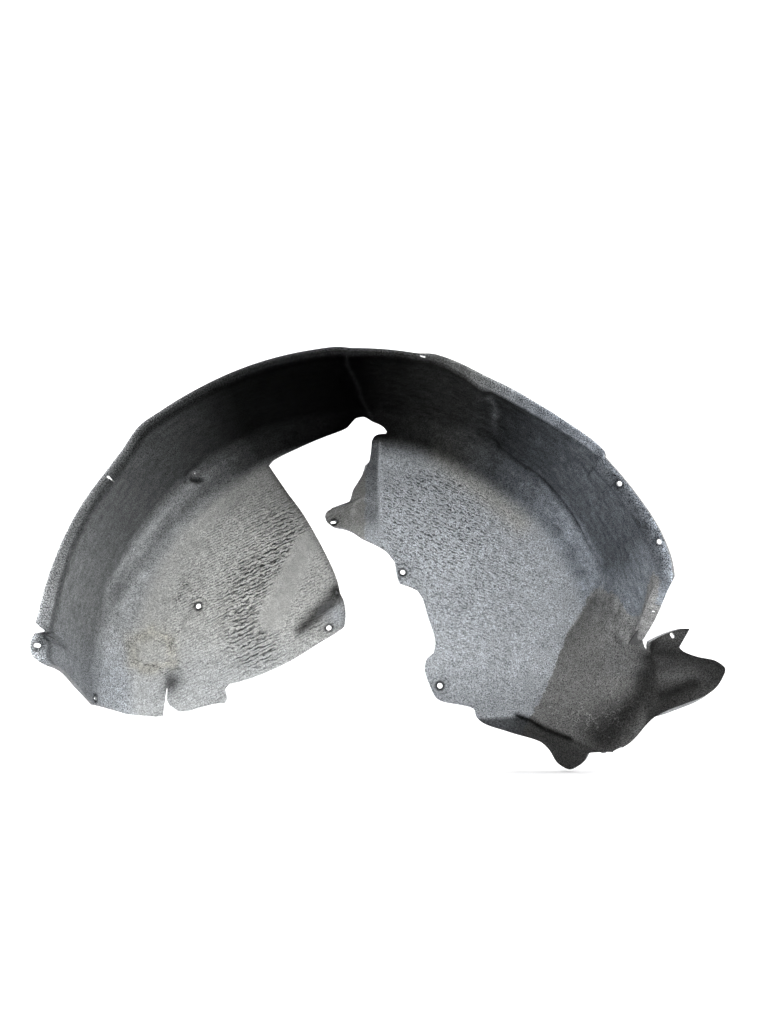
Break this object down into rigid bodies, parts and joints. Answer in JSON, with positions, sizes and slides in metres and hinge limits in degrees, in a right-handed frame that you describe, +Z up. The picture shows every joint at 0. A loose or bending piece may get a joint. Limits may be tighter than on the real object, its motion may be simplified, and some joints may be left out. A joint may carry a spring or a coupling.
{
  "type": "wheel arch liner",
  "caption": "Pressed felt liner for a car's wheel arch: a half-round band with a flange, round shoulder, two side walls with a strut gap between them, and a tail at the rear.",
  "frame": {"origin": "wheel centre, in the plane of the outer flange", "axes": "+Y inboard along the wheel axle, away from the outside of the car; +Z up; +X along the car, towards the end with the tail"},
  "size_m": [0.8772, 0.2719, 0.5449],
  "materials": {
    "felt": "needled felt, pressed, matt"
  },
  "bodies": {
    "root": {"arch_liner": "felt"}
  },
  "joints": []
}
